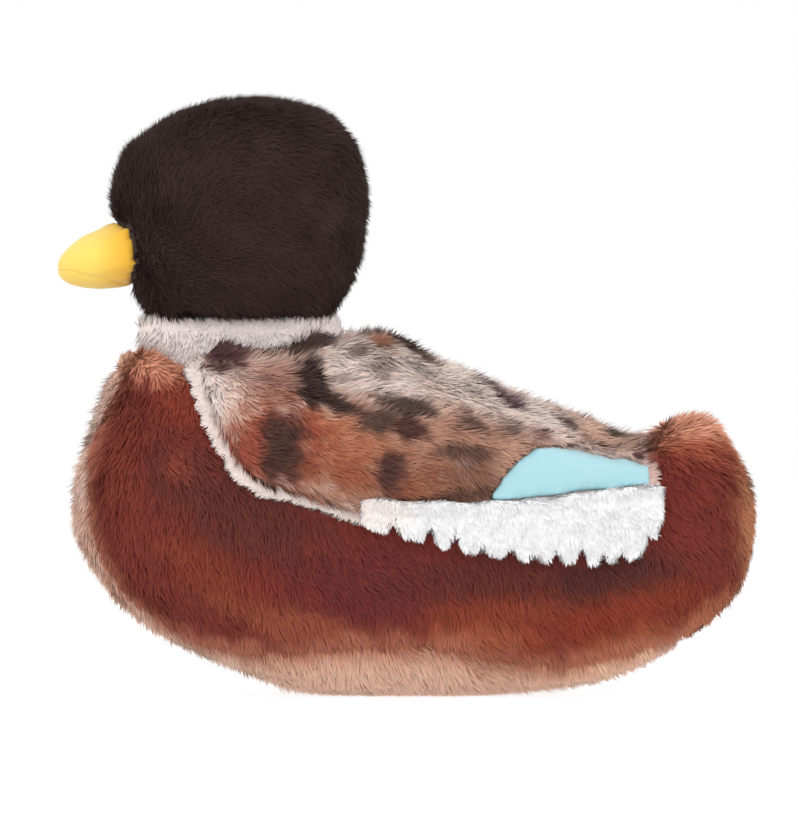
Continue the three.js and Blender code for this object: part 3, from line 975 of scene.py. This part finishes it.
# Brushed polyester fabric of the beak: a short nap, more orange where it meets the head
def beak_fabric():
    material, tree = new_material("brushed_yellow_fabric")
    place = add_node(tree, "ShaderNodeSeparateXYZ", {0: object_place(tree)}).outputs
    root = ranged(tree, place["X"], -128 * MM, -112 * MM, 0, 1, interpolation_type="SMOOTHSTEP")
    low = ranged(tree, place["Z"], 178 * MM, 167 * MM, 0, 0.4)
    upper = mixed(tree, root, paint("#ffe06b"), paint("#fbc036"))
    return finished(material, {
        "Base Color": mixed(tree, low, upper, paint("#f8c54c")), "Roughness": 0.8,
        "Normal": bumped(tree, noise(tree, 0.7 * MM, 4), 0.35, 0.25 * MM),
        "Sheen Weight": 0.25, "Sheen Roughness": 0.5,
    })


def grained(label, size, detail, distortion, dark, pale, strength, depth, surface):
    """A material in two close shades, with a relief of the same grain."""
    material, tree = new_material(label)
    grain = noise(tree, size, detail, distortion)
    return finished(material, {
        "Base Color": mixed(tree, grain, paint(dark), paint(pale)),
        "Normal": bumped(tree, grain, strength, depth), **surface,
    })


chestnut_plush = plush_pile("chestnut_plush", 0.88, "#c88e70", 0.08, 0.3)
tan_plush = plush_pile("tan_plush", 0.95, "#fbe2d2", 0.36, 0.4)
spotted_plush = plush_pile("spotted_plush", 0.9, "#e6d5cc", 0.04, 0.06)
dark_plush = plush_pile("dark_plush", 0.85, "#5b4846", 0.1, 0.12)
white_plush = plush_pile("white_plush", 1.0, "#fdf6f3", 0.3, 0.6)
white_pile = plush_pile("white_long_pile", 1.0, "#ffffff", 0.4, 0.8)
# Backings darkened by painted shade, more under the coloured piles than under the white ones
knitted_backing = plush_backing("knitted_backing", 0.72, 0.82)
white_backing = plush_backing("white_knitted_backing", 0.9, 1.0)
satin = blue_satin()
yellow_fabric = beak_fabric()

# Loose polyester fibre: white, matted and uneven
fibre = grained(
    "polyester_filling", 3 * MM, 6, 1.5, "#dcdad5", "#f7f6f3", 0.8, 1.0 * MM,
    {"Roughness": 0.95, "Sheen Weight": 0.3})

# Blow-moulded soft polyethylene: milky, with a fine orange-peel surface
plastic = grained(
    "milky_polyethylene", 1.5 * MM, 2, 0, "#e6e6e1", "#f1f1ee", 0.2, 0.1 * MM,
    {"Roughness": 0.45, "IOR": 1.51})


# Sewing a piece: what it is made of, what it rides on and which CAD node it stands for

def strip_below_hinge(side):
    """From a wing's sewn top edge to where the whole wing turns with the flap, square to the hinge."""
    front, rear = (Vector((end.x, side * abs(end.y), end.z)) for end in (hinge_front, hinge_rear))
    along = (rear - front).normalized()
    down = Vector((0, 0.35 * side, -1))
    down = (down - along * down.dot(along)).normalized()
    return front + sewn_edge * down, front + sewn_strip * down


sewn_strips = {"wing_left": strip_below_hinge(-1), "wing_right": strip_below_hinge(1)}


def slot_of(plush):
    """The slot with a plush's name, without the number that is added where a CAD material has it too."""
    return plush.name.partition(".")[0]


def sewn(piece, material, body, slot, *nodes):
    """Gives a piece its material and hangs it on its body, but only bakes a wing's pieces in place; where it
    stands for CAD nodes, smooths it and hides them. The slot is not used.
    """
    piece.data.materials.clear()
    piece.data.materials.append(material)
    if body in sewn_strips:
        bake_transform(piece)
    else:
        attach(piece, body)
    if nodes:
        piece.data.polygons.foreach_set("use_smooth", [True] * len(piece.data.polygons))
        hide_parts(*nodes)


linings = tree_of("wing_left_lining", "wing_right_lining")

# Pile that a wing, the collar or the tail's edge changes: how near a wing presses it, by how many degrees it
# is then flatter or stands up, and by what share it is shorter or longer
pressed_under = 9 * MM
pressed_flat = 12
pressed_short = 0.3
collar_short = 0.5
fluffed_up = 9
fluffed_long = 0.006


def panel_and_pile(sheet, style, dye, plush, cloth, body, node, cover, reach, seed, beak=None):
    """A plush panel: its backing as a thin closed shell, and its pile."""
    roots, normals, each = roots_on(sheet, style.count, np.random.default_rng(seed))
    free = clear_of(roots, normals, cover, reach) & clear_of(roots, normals, linings, 1.2 * MM)
    by_hinge = (below_hinge(roots) < 8 * MM) & (below_hinge(roots) > -6 * MM)
    free &= ~by_hinge | clear_of(roots, normals, linings, pressed_under)
    if beak:
        free &= clear_of(roots, normals, beak, 8 * MM) & (away_from(beak, roots) > 1.2 * MM)
    roots, normals = roots[free], normals[free]
    pressed = ~clear_of(roots, normals, linings, pressed_under)
    fluffed = fluffed_up * tail_edge(roots) * ~pressed
    collar = by_collar(roots) * (body == "body")
    pile = grown(
        sheet.name + "_pile", roots, normals, each, style, dye, seed, pressed_flat * pressed - fluffed,
        1 - pressed_short * pressed - collar_short * collar + fluffed_long * fluffed)
    sewn(pile, plush, body, slot_of(plush))
    dyed_skin(sheet, dye)
    applied(sheet, "SOLIDIFY", thickness=backing, offset=-1)
    sewn(sheet, cloth, body, slot_of(plush), node)


def filling(form, body):
    """Loose fibre that fills a skin, a little smaller than the space it has."""
    pad = copied(form + "_filling", form + "_stuffing")
    applied(pad, "REMESH", mode="VOXEL", voxel_size=3 * MM)
    drawn_in(pad, even(1.2 * MM), 4)
    sewn(pad, fibre, body, "polyester_fibre", form + "_stuffing")


# Body

# Where the fur of the back stands higher: the middle's x, half length and height of each swell
crests = ((-8 * MM, 13 * MM, 3.0 * MM), (24 * MM, 24 * MM, 1.6 * MM))


def body_depth(places, normals):
    """How far the backing lies inside the CAD skin, which is less where the fur stands fuller."""
    x, _, z = places.T
    up = normals[:, 2]
    low = 1 - eased_mm(88, 102, z)
    depth = body_pile_depth * (1 - near_neck(places))
    depth -= tail_spread * eased_mm(112, 136, x) * low
    depth -= chest_spread * eased_mm(-104, -124, x) * low
    depth -= shoulder_spread * eased_mm(-92, -106, x) * eased_mm(122, 130, z)
    depth -= rump_spread * eased_mm(52, 84, x) * eased(0.1, 0.6, -up)
    depth -= keel_spread * eased_mm(-84, -104, x) * (1 - eased_mm(34, 52, z))
    depth -= belly_spread * eased(0.5, 0.9, -up)
    depth -= tail_rise * eased_mm(82, 98, x) * eased(0.3, 0.8, up)
    for middle, reach, height in crests:
        depth -= height * swell(x - middle, reach) * eased(0.3, 0.8, up)

    # The hollow in which the neck sits stays where it is, so that the collar keeps its thickness
    to_neck = unit(np.array(neck_pivot) - places)
    return depth * (1 - eased(0.2, 0.7, (normals * to_neck).sum(1)))


def neckline_shaped(places, normals):
    """Lowers the body's edge round the neck just before the wings, and raises it in front."""
    x, y, z = places.T
    z -= neckline_dip * swell(x - neckline_at, neckline_reach) * eased_mm(118, 132, z)
    front = (1 - eased_mm(5, 15, np.abs(y))) * eased_mm(-100, -110, x) * eased_mm(112, 126, z)
    z += neckline_rise * front
    x += neckline_lean * front


# The body's panels, each with its dye, plush, count of strands and lay
body_looks = {
    "body_side_left": (chestnut, chestnut_plush, 47000, brushed_flank),
    "body_side_right": (chestnut, chestnut_plush, 47000, brushed_flank),
    "belly_gusset": (gusset_tan, tan_plush, 24000, brushed_flank),
    "back_panel": (spotted, spotted_plush, 14000, brushed_off_neck),
}


def make_body(neck):
    """Sews the body and gives a search tree over its finished cloth."""
    panels = list(body_looks)
    skin = stuffed("body", panels, 5.5 * MM, body_depth, 3, 2 * MM, neckline_shaped)
    places = corners(skin)
    places[:, 2] = np.maximum(places[:, 2], 2 * ground_clearance)
    move_corners(skin, places)
    panel = panel_of_faces(skin, panels)
    seams_evened(skin, panel)
    seams_pulled(skin, panel, seam_pull, seam_reach)
    sheets = cut_up(skin, panel, panels, "_skin")
    for number, (node, (dye, plush, count, lay)) in enumerate(body_looks.items()):
        style = Pile(count, 7 * MM, 1.3 * MM, 67, 3 * MM, 0.15, 0.14, 0.04, lay)
        panel_and_pile(
            sheets[number], style, dye, plush, knitted_backing, "body", node, neck, 6 * MM, 20 + number)
    return tree_over([sheet.data for sheet in sheets])


# Head

def head_depth(places, normals):
    """How far the head's backing lies inside the CAD skin, which is less at the crown's sides and back."""
    z = places[:, 2]
    ahead, _, up = normals.T
    depth = head_pile_depth * (1 - eased(0.5, 0.9, -up))
    depth -= crown_spread * eased(0.2, 0.6, ahead) * eased(0.2, 0.6, up)
    crown = eased_mm(190, 202, z) * (1 - eased_mm(219, 230, z))
    return depth - crown_spread * crown * eased(0.4, 0.8, np.abs(ahead))


def make_head(beak):
    panels = ["head_side_left", "head_side_right"]
    skin = stuffed("head", panels, 3.5 * MM, head_depth, 2, 1.5 * MM)
    panel = panel_of_faces(skin, panels)
    seams_evened(skin, panel)
    seams_pulled(skin, panel, 0.8 * MM, seam_reach)
    style = Pile(27000, 5 * MM, 1.1 * MM, 68, 2.2 * MM, 0.1, 0.2, 0.02, brushed_round_head)
    for number, sheet in enumerate(cut_up(skin, panel, panels, "_skin")):
        panel_and_pile(
            sheet, style, plain("#332522"), dark_plush, knitted_backing, "head", panels[number],
            neck_band, 1 * MM, 30 + number, beak)


def beak_root_fuller(places, normals):
    """Spreads the beak's root over the head and raises its top."""
    x, _, z = places.T
    at_root = eased_mm(-124, -111, x)
    x += beak_root_spread * at_root
    z += beak_root_rise * at_root * eased_mm(176, 188, z)


def make_beak():
    """Sews the beak and gives a search tree over its finished cloth."""
    panels = ["beak_upper", "beak_lower"]
    skin = stuffed("beak", panels, 1.2 * MM, even(-beak_fullness), 2, 0.5 * MM, beak_root_fuller)
    panel = panel_of_faces(skin, panels)
    seams_pulled(skin, panel, 0.35 * MM, 0.9 * MM)
    sheets = cut_up(skin, panel, panels, "_cloth")
    for sheet, node in zip(sheets, panels):
        applied(sheet, "SOLIDIFY", thickness=beak_cloth, offset=-1)
        sewn(sheet, yellow_fabric, "head", "yellow_fabric", node)
    return tree_over([sheet.data for sheet in sheets])


def neck_depth(places, normals):
    return neck_pile_depth * (1 - eased(0.5, 0.9, normals[:, 2]))


def neck_bulged(places, normals):
    """Spreads the neck's front below and draws it in above."""
    x, _, z = places.T
    x += neck_bulge * eased_mm(-82, -104, x) * (1 - 2 * eased_mm(138, 150, z))


def make_neck():
    """Sews the neck band and gives a search tree over its finished cloth."""
    skin = stuffed("neck", ["neck_band"], 3.5 * MM, neck_depth, 2, 1.2 * MM, neck_bulged)
    panel = panel_of_faces(skin, ["neck_band", "neck_stuffing"])
    seams_evened(skin, panel)
    style = Pile(13000, 5 * MM, 1.4 * MM, 74, 2.6 * MM, 0.1, 0.1, 0.03, brushed_neck)
    sheet, = cut_up(skin, panel, ["neck_band"], "_skin")
    cover = tree_of(
        "back_panel", "belly_gusset", "body_side_left", "body_side_right", "body_stuffing", "head_stuffing")
    panel_and_pile(
        sheet, style, plain("#f9ebe8"), white_plush, white_backing, "neck", "neck_band", cover, 1 * MM, 40)
    return tree_over([sheet.data])


# Wings

left_body = tree_of("body_side_left", "back_panel", "belly_gusset")


def unit_away(place):
    """The way straight out from the body at a place."""
    return np.array((Vector(place) - left_body.find_nearest(Vector(place))[0]).normalized())


def wing_layer(name, ending, voxel, inner, rim_at, outer, cap):
    """A padded layer of the left wing, drawn in by other amounts inside, at its rim and outside."""
    node = "wing_left_" + name
    layer = remeshed(node + ending, [node], voxel)

    def depth_at(places, normals):
        facing = (normals * np.array([unit_away(place) for place in places])).sum(1)
        full = np.sin(np.pi / 2 * np.clip(below_hinge(places) / wing_full_below, 0, 1))
        outside = least_pile + (outer - least_pile) * full
        rim = rim_at(places)
        depth = rim + (outside - rim) * eased(0.3, 0.8, facing)
        return depth + (inner - depth) * eased(0.3, 0.8, -facing)

    drawn_in(layer, depth_at, 2)
    return puffed(layer, cap)


def wing_front(places):
    """1 along a wing's free front and lower edge before the trim, 0 at its top seam and behind."""
    return (1 - eased_mm(-24, -12, places[:, 0])) * eased_mm(2, 9, below_hinge(places))


def cover_rim(places):
    """The spotted plush ends inside the wing's front edge, where the lining shows."""
    return 0.2 * MM + 1.8 * MM * wing_front(places)


def lining_rim(places):
    """The lining's front edge stands out in puffy folds."""
    behind = eased_mm(-16, -6, places[:, 0]) * eased_mm(20, 30, below_hinge(places))
    puffs = (2.5 + 1.4 * ripple(places, 11 * MM, 3)) * MM
    return 1.6 * MM - puffs * wing_front(places) + 2 * MM * behind


def raised_top(places, normals):
    """Lifts the front half of the cover's top edge and leans it against the neck band."""
    x, y, z = places.T
    top = wing_top(places, 0, 10) * eased_mm(-86, -66, x)
    z += cover_lift * top + cover_top_lift * (1 - eased_mm(0, 8, below_hinge(places)))
    y += cover_lean * top


def heights_beside(places, pick):
    """For each place the least or greatest height of the places beside it."""
    x, _, z = places.T
    return np.array([pick(z[np.abs(x - place) < beside]) for place in x])


def tucked(places, normals):
    """Draws the lining's lower edge up behind the trim."""
    x, _, z = places.T
    above = z - heights_beside(places, np.min)
    z += lining_tuck * eased_mm(-14, -6, x) * (1 - eased_mm(0, 10, above))


# The fleece trim's locks are parted by notches: x and height of each in mm
trim_notches = [
    (-5.2, 5.5), (8.8, 7), (19, 7), (30, 3), (41, 3.5), (50, 2), (58.5, 4.5), (69, 7), (78, 3), (85, 3.5),
]
trim_front = -15 * MM
trim_step = (94.6 * MM, 66 * MM)


def parted(places, normals):
    """Parts the lower half of the trim in rounded locks, and laps its top edge over its neighbours."""
    x, y, z = places.T
    above = z - heights_beside(places, np.min)
    top = eased_mm(-4, -1, z - heights_beside(places, np.max))
    drawn = np.zeros(len(places))
    raised = np.zeros(len(places))
    for notch, height in trim_notches:
        off = x - notch * MM
        drawn += 2 * MM * swell(off, 1.5 * MM) * (1 - eased_mm(0, 2.2 * height, above))
        raised += height * MM * swell(off, 1.8 * MM) * (1 - eased_mm(0, height, above))
    places -= normals * drawn[:, None]
    z += eased_mm(-1, 1, x - trim_step[0]) * np.maximum(0, trim_step[1] - z)
    past = np.clip((trim_front - x) / (3.4 * MM), 0, 0.95)
    z += (np.median(z[x < trim_front]) - z) * (1 - np.sqrt(1 - past ** 2))
    z += raised + (1.4 + 0.5 * ripple(places, 12 * MM, 4)) * MM * top
    y -= 1.5 * MM * top


def sewn_down(layers, cloth):
    """Draws a wing's top edge in until its lining meets the body's cloth, to which it is sewn."""
    edge = corners(layers["lining"])
    edge = edge[below_hinge(edge) < edge_depth]
    gaps = away_from(cloth, edge)
    for layer in layers.values():
        places = corners(layer)
        share = 1 - eased_mm(3, 11, below_hinge(places))
        for index in np.flatnonzero(share):
            place = places[index]
            gap = gaps[np.abs(edge[:, 0] - place[0]) < edge_reach].min(initial=widest_gap)
            places[index] -= unit_away(place) * (gap + sewn_overlap) * share[index]
        move_corners(layer, places)


def make_wings(cloth):
    """Sews the left wing's layers, and the same mirrored for the right one."""
    layers = {
        "cover": wing_layer("cover", "_skin", 2.6 * MM, 0.1 * MM, cover_rim, wing_pile_depth, 1 * MM),
        "lining": wing_layer("lining", "_skin", 2 * MM, 0.4 * MM, lining_rim, 0.3 * MM, 0.4 * MM),
        "trim": wing_layer("trim", "_skin", 1.8 * MM, 0.1 * MM, even(0.8 * MM), trim_pile_depth, 1 * MM),
        "speculum": wing_layer("speculum", "_satin", 2 * MM, 0.1 * MM, even(0), 0.1 * MM, 1 * MM),
    }
    for name, reshape in (("cover", raised_top), ("lining", tucked), ("trim", parted)):
        reshaped(layers[name], reshape)
    sewn_down(layers, cloth)
    dress_wing("wing_left", layers, 50)
    layers = {name: mirrored(layer, layer.name.replace("left", "right")) for name, layer in layers.items()}
    dress_wing("wing_right", layers, 60)


def dress_wing(wing, layers, seed):
    """Grows the pile on a wing's layers and sews them on."""
    styles = {
        "cover": (
            Pile(17000, 6.4 * MM, 1.3 * MM, 67, 3 * MM, 0.15, 0.1, 0.03, brushed_wing),
            spotted, spotted_plush, knitted_backing, ["lining"]),
        "lining": (
            Pile(30000, 2.6 * MM, 1.2 * MM, 68, 5 * MM, 0.25, 0, 0.03, brushed_over_edge),
            lining_white, white_plush, white_backing, ["cover", "trim", "speculum"]),
        "trim": (
            Pile(9000, 3.2 * MM, 1.5 * MM, 76, 3.5 * MM, 0.2, 0, 0.02, brushed_down),
            trim_white, white_pile, white_backing, ["lining"]),
    }
    patch = layers["speculum"]
    satin_tree = tree_over([patch.data])
    for name, (style, dye, plush, cloth, covers) in styles.items():
        layer = layers[name]
        roots, normals, each = roots_on(layer, style.count, np.random.default_rng(seed))
        cover = tree_over([layers[other].data for other in covers])
        free = clear_of(roots, normals, cover, 2 * MM)
        if name == "lining":
            free &= below_hinge(roots) > 1.5 * MM
        roots, normals = roots[free], normals[free]
        flatter, longer = 0, 1
        if name == "cover":
            by_patch = 1 - eased_mm(1, 7, away_from(satin_tree, roots))
            top = wing_top(roots, 1.5, 4) * eased(0.3, 0.7, normals[:, 2])
            flatter = 9 * by_patch - 8 * top
            longer = 1 - 0.5 * by_patch
        pile = grown(layer.name + "_pile", roots, normals, each, style, dye, seed + 1, flatter, longer)
        sewn(pile, plush, wing, slot_of(plush))
        dyed_skin(layer, dye)
        sewn(layer, cloth, wing, slot_of(plush), wing + "_" + name)
        seed += 2
    sewn(patch, satin, wing, "blue_satin", wing + "_speculum")


# Studio

def make_camera():
    camera_data = bpy.data.cameras.new("camera")
    camera = placed("camera", camera_data)
    camera.location = (picture_middle[0], picture_plane - camera_distance, picture_middle[1])
    camera.rotation_euler = (math.pi / 2, 0, 0)
    camera_data.sensor_fit = "HORIZONTAL"
    camera_data.sensor_width = sensor_width
    camera_data.lens = sensor_width * camera_distance / picture_width
    camera_data.clip_end = 50
    bpy.context.scene.camera = camera
    bpy.context.scene.view_settings.view_transform = "Standard"


def make_light():
    lamps = (
        ("key", (-1.3, -1.6, 1.7), 1.4, 7),
        ("fill", (1.6, -1.5, 0.9), 1.6, 5),
        ("top", (0.2, 0.4, 2.0), 1.6, 7),
        ("front", (-0.2, -2.2, 0.3), 1.4, 13),
    )
    for label, place, size, power in lamps:
        lamp_data = bpy.data.lights.new(label, "AREA")
        lamp_data.size = size
        lamp_data.energy = power
        lamp = placed(label, lamp_data)
        lamp.location = place
        lamp.rotation_euler = (Vector((0, 0, 0.1)) - lamp.location).to_track_quat("-Z", "Y").to_euler()

    world = bpy.data.worlds.new("studio")
    world.use_nodes = True
    bpy.context.scene.world = world
    tree = world.node_tree
    tree.nodes.clear()
    path = add_node(tree, "ShaderNodeLightPath").outputs
    seen = worked_out(tree, "MAXIMUM", path["Is Camera Ray"], path["Is Glossy Ray"])
    seen = worked_out(tree, "MAXIMUM", seen, path["Is Transmission Ray"])
    background = add_node(tree, "ShaderNodeBackground", {
        "Color": (1, 1, 1, 1), "Strength": ranged(tree, seen, 0, 1, 0.8, 1),
    })
    add_node(tree, "ShaderNodeOutputWorld", {"Surface": background.outputs[0]})


def glowing_paper(tree, shade, strength):
    """Matt paper that also glows a little, so that it stays white."""
    paper = add_node(tree, "ShaderNodeBsdfDiffuse", {"Color": (shade, shade, shade, 1)})
    glow = add_node(tree, "ShaderNodeEmission", {"Color": (1, 1, 1, 1), "Strength": strength})
    return add_node(tree, "ShaderNodeAddShader", {0: paper.outputs[0], 1: glow.outputs[0]}).outputs[0]


def make_floor():
    bpy.ops.mesh.primitive_plane_add(size=12, location=(0, 0, 0))
    floor = bpy.context.view_layer.objects.active
    floor.name = "floor"
    material, tree = new_material("paper_sweep")
    path = add_node(tree, "ShaderNodeLightPath").outputs
    lit = glowing_paper(tree, 0.3, 0.88)
    bounced = glowing_paper(tree, 0.2, 0.72)
    seen = worked_out(tree, "MAXIMUM", path["Is Camera Ray"], path["Is Glossy Ray"])
    both = add_node(tree, "ShaderNodeMixShader", {0: seen, 1: bounced, 2: lit})
    add_node(tree, "ShaderNodeOutputMaterial", {"Surface": both.outputs[0]})
    floor.data.materials.append(material)


make_camera()
make_light()
make_floor()
body_cloth = make_body(make_neck())
make_head(make_beak())
make_wings(body_cloth)
for form, body in (("body", "body"), ("neck", "neck"), ("head", "head"), ("beak", "head")):
    filling(form, body)
for node in ("squeaker_bulb", "squeaker_reed_holder", "squeaker_reed"):
    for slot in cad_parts[node].material_slots:
        slot.material = plastic
